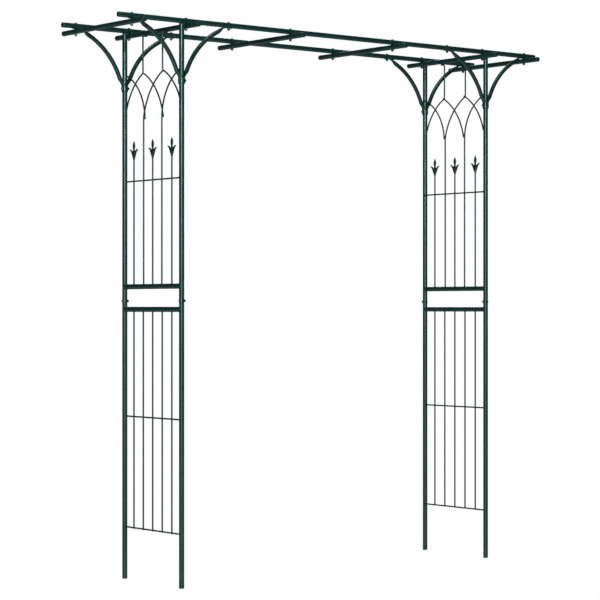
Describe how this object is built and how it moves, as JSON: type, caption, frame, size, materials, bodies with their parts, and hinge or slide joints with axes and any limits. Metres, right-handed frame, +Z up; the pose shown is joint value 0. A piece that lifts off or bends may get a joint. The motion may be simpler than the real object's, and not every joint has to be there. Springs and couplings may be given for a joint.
{
  "type": "trellis arch",
  "caption": "Flat-topped metal garden arch: two ladder-like side panels with pointed tracery and spear finials, long overhead beams with crossbars and curved corner brackets.",
  "frame": {"origin": "on the ground, midway between the two side panels and midway between their front and back posts", "axes": "+X along the long overhead beams, +Y from the front beam to the back beam, +Z up"},
  "size_m": [2.044, 0.526, 2.0436],
  "materials": {
    "tube_coat": "semi-gloss dark green powder coat",
    "rod_coat": "semi-gloss dark green powder coat",
    "fastener": "painted dark green",
    "cap": "matte dark green plastic"
  },
  "bodies": {
    "root": {"lower_post_front_left": "tube_coat", "lower_post_back_left": "tube_coat", "lower_post_front_right": "tube_coat", "lower_post_back_right": "tube_coat", "upper_post_front_left": "tube_coat", "upper_post_back_left": "tube_coat", "upper_post_front_right": "tube_coat", "upper_post_back_right": "tube_coat", "lower_rail_left": "tube_coat", "lower_rail_right": "tube_coat", "upper_rail_left": "tube_coat", "upper_rail_right": "tube_coat", "lower_bars_left": "rod_coat", "lower_bars_right": "rod_coat", "lower_cross_rods_left": "rod_coat", "lower_cross_rods_right": "rod_coat", "upper_cross_rod_left": "rod_coat", "upper_cross_rod_right": "rod_coat", "finial_bars_left": "rod_coat", "finial_bars_right": "rod_coat", "finials_left": "rod_coat", "finials_right": "rod_coat", "tracery_stems_left": "rod_coat", "tracery_stems_right": "rod_coat", "tracery_arcs_left": "rod_coat", "tracery_arcs_right": "rod_coat", "drop_rods_left": "rod_coat", "drop_rods_right": "rod_coat", "crossbar_left_end": "tube_coat", "crossbar_left_panel": "tube_coat", "crossbar_left_middle": "tube_coat", "crossbar_right_middle": "tube_coat", "crossbar_right_panel": "tube_coat", "crossbar_right_end": "tube_coat", "beam_front_left": "tube_coat", "beam_front_middle": "tube_coat", "beam_front_right": "tube_coat", "beam_back_left": "tube_coat", "beam_back_middle": "tube_coat", "beam_back_right": "tube_coat", "bracket_front_left_outer": "tube_coat", "bracket_front_left_inner": "tube_coat", "bracket_back_left_outer": "tube_coat", "bracket_back_left_inner": "tube_coat", "bracket_front_right_outer": "tube_coat", "bracket_front_right_inner": "tube_coat", "bracket_back_right_outer": "tube_coat", "bracket_back_right_inner": "tube_coat", "crossing_bolts": "fastener", "crossing_nuts": "fastener", "bracket_top_bolts": "fastener", "bracket_top_nuts": "fastener", "bracket_foot_bolts": "fastener", "bracket_foot_nuts": "fastener", "splice_bolts": "fastener", "splice_nuts": "fastener", "end_caps": "cap", "post_top_caps": "cap", "foot_caps": "cap"}
  },
  "joints": []
}
